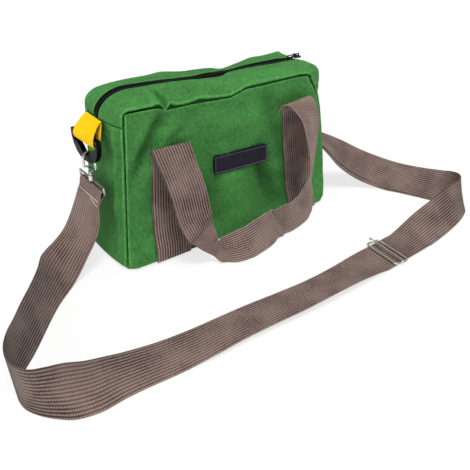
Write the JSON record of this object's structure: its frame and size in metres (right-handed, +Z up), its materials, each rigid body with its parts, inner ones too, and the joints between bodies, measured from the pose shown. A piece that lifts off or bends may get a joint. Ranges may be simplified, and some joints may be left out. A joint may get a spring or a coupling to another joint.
{
  "type": "canvas tool bag",
  "caption": "Soft canvas tool bag with a zip top, webbing grab handles, snap hooks on moulded rings and an adjustable webbing shoulder strap, for carrying hand tools",
  "frame": {"origin": "on the floor under the middle of the bag, on the underside of its base", "axes": "+X along the zip to the plate side's right, +Y to the back, +Z up"},
  "size_m": [0.6709, 0.3086, 0.213],
  "materials": {
    "front_panel": "green canvas",
    "rear_panel": "green canvas",
    "left_end_panel": "green canvas",
    "right_end_panel": "green canvas",
    "base_panel": "green canvas",
    "base_board": "plain grey board",
    "left_top_end": "green canvas",
    "right_top_end": "green canvas",
    "left_zip_end": "black zip tape and teeth",
    "right_zip_end": "black zip tape and teeth",
    "front_left_anchor": "taupe ribbed webbing",
    "front_right_anchor": "taupe ribbed webbing",
    "rear_left_anchor": "taupe ribbed webbing",
    "rear_right_anchor": "taupe ribbed webbing",
    "label_plate": "bare dark plate",
    "left_tab": "yellow webbing",
    "right_tab": "yellow webbing",
    "shoulder_strap": "taupe ribbed webbing",
    "front_top_flap": "green canvas",
    "front_zip_tape": "black zip tape and teeth",
    "rear_top_flap": "green canvas",
    "rear_zip_tape": "black zip tape and teeth",
    "zip_slider": "black painted metal",
    "zip_puller": "black painted metal",
    "front_handle": "taupe ribbed webbing",
    "rear_handle": "taupe ribbed webbing",
    "strap_adjuster": "plated steel",
    "adjuster_bar": "plated steel",
    "left_ring": "black moulded plastic",
    "left_strap_loop": "plated steel",
    "left_hook": "plated steel",
    "left_gate": "plated steel",
    "right_ring": "black moulded plastic",
    "right_strap_loop": "plated steel",
    "right_hook": "plated steel",
    "right_gate": "plated steel"
  },
  "bodies": {
    "bag": {"front_panel": "front_panel", "rear_panel": "rear_panel", "left_end_panel": "left_end_panel", "right_end_panel": "right_end_panel", "base_panel": "base_panel", "base_board": "base_board", "left_top_end": "left_top_end", "right_top_end": "right_top_end", "left_zip_end": "left_zip_end", "right_zip_end": "right_zip_end", "front_left_anchor": "front_left_anchor", "front_right_anchor": "front_right_anchor", "rear_left_anchor": "rear_left_anchor", "rear_right_anchor": "rear_right_anchor", "label_plate": "label_plate", "left_tab": "left_tab", "right_tab": "right_tab", "shoulder_strap": "shoulder_strap"},
    "front_flap": {"front_top_flap": "front_top_flap", "front_zip_tape": "front_zip_tape"},
    "rear_flap": {"rear_top_flap": "rear_top_flap", "rear_zip_tape": "rear_zip_tape"},
    "slider": {"zip_slider": "zip_slider"},
    "puller": {"zip_puller": "zip_puller"},
    "front_grip": {"front_handle": "front_handle"},
    "rear_grip": {"rear_handle": "rear_handle"},
    "adjuster": {"strap_adjuster": "strap_adjuster", "adjuster_bar": "adjuster_bar"},
    "left_ring_body": {"left_ring": "left_ring"},
    "left_loop_body": {"left_strap_loop": "left_strap_loop"},
    "left_hook_body": {"left_hook": "left_hook"},
    "left_gate_body": {"left_gate": "left_gate"},
    "right_ring_body": {"right_ring": "right_ring"},
    "right_loop_body": {"right_strap_loop": "right_strap_loop"},
    "right_hook_body": {"right_hook": "right_hook"},
    "right_gate_body": {"right_gate": "right_gate"}
  },
  "joints": [
    {"name": "front_flap_open", "type": "hinge", "parent": "bag", "child": "front_flap", "pos_m": [0.00525, -0.04535, 0.19654], "axis": [0.9993, 0.0351, -0.0159], "range_deg": [0, 80]},
    {"name": "rear_flap_open", "type": "hinge", "parent": "bag", "child": "rear_flap", "pos_m": [0.01428, 0.04497, 0.19846], "axis": [-0.9994, -0.013, -0.0333], "range_deg": [0, 80]},
    {"name": "zip_slide", "type": "slide", "parent": "bag", "child": "slider", "axis": [-1, 0, 0], "range_m": [0, 0.263]},
    {"name": "puller_flip", "type": "hinge", "parent": "slider", "child": "puller", "pos_m": [0.145, 0, 0.21065], "axis": [0, 1, 0], "range_deg": [0, 150]},
    {"name": "front_handle_lift", "type": "hinge", "parent": "bag", "child": "front_grip", "pos_m": [0.00579, -0.05922, 0.156], "axis": [-0.999, 0.0174, -0.0408], "range_deg": [0, 150]},
    {"name": "rear_handle_lift", "type": "hinge", "parent": "bag", "child": "rear_grip", "pos_m": [0, 0.05593, 0.15097], "axis": [0.9999, 0.0052, 0.0097], "range_deg": [0, 160]},
    {"name": "left_ring_tilt", "type": "hinge", "parent": "bag", "child": "left_ring_body", "pos_m": [-0.1665, 0.004, 0.16], "axis": [-0.0799, 0.9968, 0], "range_deg": [-3, 7]},
    {"name": "left_loop_tilt", "type": "hinge", "parent": "left_ring_body", "child": "left_loop_body", "pos_m": [-0.1665, 0.004, 0.1335], "axis": [-0.0799, 0.9968, 0], "range_deg": [-12.5, 5.5]},
    {"name": "left_hook_swivel", "type": "hinge", "parent": "left_loop_body", "child": "left_hook_body", "pos_m": [-0.1665, 0.004, 0.1119], "axis": [0, 0, 1], "range_deg": [-12, 12]},
    {"name": "left_gate_press", "type": "hinge", "parent": "left_hook_body", "child": "left_gate_body", "pos_m": [-0.16361, 0.00423, 0.1188], "axis": [-0.0799, 0.9968, 0], "range_deg": [0, 15], "stiffness_Nm_per_rad": 0.01},
    {"name": "right_ring_tilt", "type": "hinge", "parent": "bag", "child": "right_ring_body", "pos_m": [0.1665, 0.004, 0.16], "axis": [-0.0799, -0.9968, 0], "range_deg": [-3, 7]},
    {"name": "right_loop_tilt", "type": "hinge", "parent": "right_ring_body", "child": "right_loop_body", "pos_m": [0.1665, 0.004, 0.1335], "axis": [-0.0799, -0.9968, 0], "range_deg": [-12.5, 5.5]},
    {"name": "right_hook_swivel", "type": "hinge", "parent": "right_loop_body", "child": "right_hook_body", "pos_m": [0.1665, 0.004, 0.1119], "axis": [0, 0, 1], "range_deg": [-12, 12]},
    {"name": "right_gate_press", "type": "hinge", "parent": "right_hook_body", "child": "right_gate_body", "pos_m": [0.16361, 0.00423, 0.1188], "axis": [-0.0799, -0.9968, 0], "range_deg": [0, 15], "stiffness_Nm_per_rad": 0.01},
    {"name": "adjuster_slide", "type": "slide", "parent": "bag", "child": "adjuster", "axis": [0.9956, -0.0941, 0], "range_m": [-0.01, 0.01]}
  ],
  "couplings": [
    {"joint": "left_loop_tilt", "follows": "left_ring_tilt", "ratio": -1.7571},
    {"joint": "right_loop_tilt", "follows": "right_ring_tilt", "ratio": -1.7571}
  ]
}
